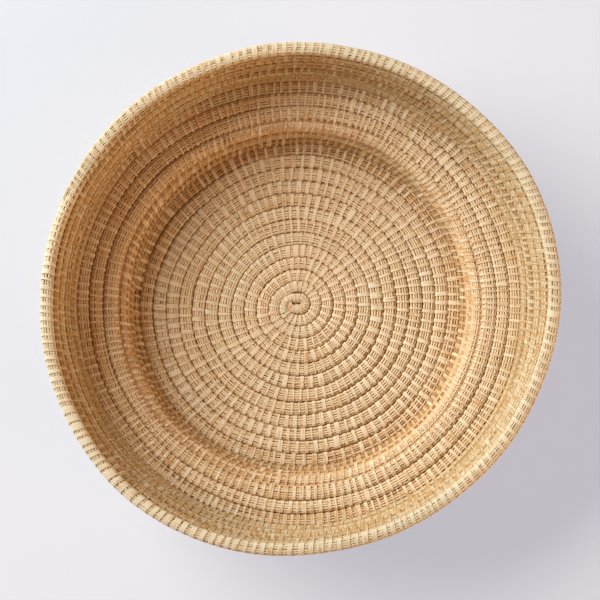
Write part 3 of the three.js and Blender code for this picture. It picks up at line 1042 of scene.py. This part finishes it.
for (stretch, squareness, leaf_thickness, count, size, heart), first, last in zip(
    STRETCHES, CUT_TURNS[:-1], CUT_TURNS[1:]
):
    stems = stretch_stems(f"{stretch}_stems", first, last, squareness, count, size, heart)
    put(stems, "grass_bundle", f"{stretch}_coil")
    stitch = new_object("stitch", stitch_strip(squareness, leaf_thickness))
    put(stretch_strips(f"{stretch}_strips", stitch, first, last, RNG), "palm_strip")
    bpy.data.objects.remove(stitch)
wrap = new_object("wrap", wrap_strip())
knot_stems, knot_strips = knot_pieces(wrap, RNG)
put(knot_stems, "grass_bundle", "start_knot")
put(knot_strips, "palm_strip")
bpy.data.objects.remove(wrap)

# Stage

FLOOR_SIZE = 6.0
BACKDROP = (0.83, 0.85, 0.9, 1.0)
# The paper seen straight: what it sends back of the light, its own glow, and how far out it runs into the
# backdrop
PAPER_MATT = (0.5, 0.485, 0.445, 1.0)
PAPER_GLOW = (0.325, 0.388, 0.493, 1.0)
PAPER_ENDS = (0.4, 1.2)


def seen_straight(tree):
    """1 where the camera sees a thing, also mirrored or through glass, and 0 where it only sends light on."""
    path = add(tree, "ShaderNodeLightPath")
    straight = path.outputs["Is Camera Ray"]
    for ray in ("Is Glossy Ray", "Is Transmission Ray"):
        straight = add(tree, "ShaderNodeMath", {0: straight, 1: path.outputs[ray]}, operation="MAXIMUM")
    return straight


def paper_floor():
    """Matt paper: pale, a little cool, even. Seen straight it glows a little, so its shadow stays pale."""
    material, tree, surface = new_material("matt_paper", 0.9, 0.0)
    surface.inputs["Base Color"].default_value = linear("#eeeff4")
    matt = add(tree, "ShaderNodeBsdfDiffuse", {"Color": PAPER_MATT})
    glow = add(tree, "ShaderNodeEmission", {"Color": PAPER_GLOW, "Strength": 1.0})
    near = add(tree, "ShaderNodeAddShader", {0: matt, 1: glow})
    # Beyond the basket's shadow it runs on evenly into the backdrop
    spot = add(tree, "ShaderNodeTexCoord")
    far = add(tree, "ShaderNodeVectorMath", {0: spot.outputs["Object"]}, operation="LENGTH")
    away = add(
        tree, "ShaderNodeMapRange",
        {"Value": far.outputs["Value"], "From Min": PAPER_ENDS[0], "From Max": PAPER_ENDS[1]},
        interpolation_type="SMOOTHSTEP",
    )
    even = add(tree, "ShaderNodeEmission", {"Color": BACKDROP, "Strength": 1.0})
    seen = add(tree, "ShaderNodeMixShader", {0: away.outputs["Result"], 1: near, 2: even})
    straight = seen_straight(tree)
    mixed = add(tree, "ShaderNodeMixShader", {0: straight, 1: surface, 2: seen})
    tree.links.new(mixed.outputs[0], tree.nodes["Material Output"].inputs["Surface"])
    return material


floor_mesh = bpy.data.meshes.new("floor")
half = FLOOR_SIZE / 2
floor_corners = [(-half, -half, 0), (half, -half, 0), (half, half, 0), (-half, half, 0)]
floor_mesh.from_pydata(floor_corners, [], [(0, 1, 2, 3)])
floor_mesh.materials.append(paper_floor())
floor = new_object("floor", floor_mesh)

# One broad soft light from the upper left, a warm reflector on the right, and an even fill all round
LIGHT_DISTANCE = 2.6
# Name, height and width, lean from straight above, side, level in W/m2 at the basket, and colour
SOFT_LIGHTS = [
    ("key", (1.5, 2.7), math.radians(58), math.radians(-31), 4.64, (1.0, 1.0, 1.0)),
    ("reflector", (1.8, 1.8), math.radians(72), math.radians(153), 1.9, (1.0, 0.64, 0.41)),
]
FILL_LEVEL = 0.178
FILL_COLOUR = (1.0, 0.6, 0.36, 1.0)

for name, size, slant, side, level, colour in SOFT_LIGHTS:
    light = bpy.data.lights.new(name, "AREA")
    light.shape = "ELLIPSE"
    light.size, light.size_y = size
    light.energy = level * math.pi * LIGHT_DISTANCE**2
    light.color = colour
    lamp = new_object(name, light)
    lamp.rotation_euler = (0.0, -slant, side)
    lamp.location = (
        -LIGHT_DISTANCE * math.sin(slant) * math.cos(side),
        -LIGHT_DISTANCE * math.sin(slant) * math.sin(side),
        LIGHT_DISTANCE * math.cos(slant),
    )

world = bpy.data.worlds.new("studio")
world.use_nodes = True
studio = world.node_tree
fill = studio.nodes["Background"]
fill.inputs["Color"].default_value = FILL_COLOUR
fill.inputs["Strength"].default_value = FILL_LEVEL
# Seen straight, the studio is as pale as the floor
backdrop = add(studio, "ShaderNodeBackground", {"Color": BACKDROP, "Strength": 1.0})
parted = add(studio, "ShaderNodeMixShader", {0: seen_straight(studio), 1: fill, 2: backdrop})
studio.links.new(parted.outputs[0], studio.nodes["World Output"].inputs["Surface"])
bpy.context.scene.world = world

# The camera looks straight down from a little below the basket's middle, and its picture is shifted up
CAMERA_PLACE = (-0.0015, -0.0716, 1.1)
PICTURE_SHIFT = (0.0054, 0.1793)

camera = bpy.data.cameras.new("camera")
camera.sensor_width = 36.0
camera.lens = 93.36
camera.shift_x, camera.shift_y = PICTURE_SHIFT
camera.clip_end = 20.0
camera_object = new_object("camera", camera)
camera_object.location = CAMERA_PLACE
bpy.context.scene.camera = camera_object
bpy.context.scene.view_settings.view_transform = "Standard"
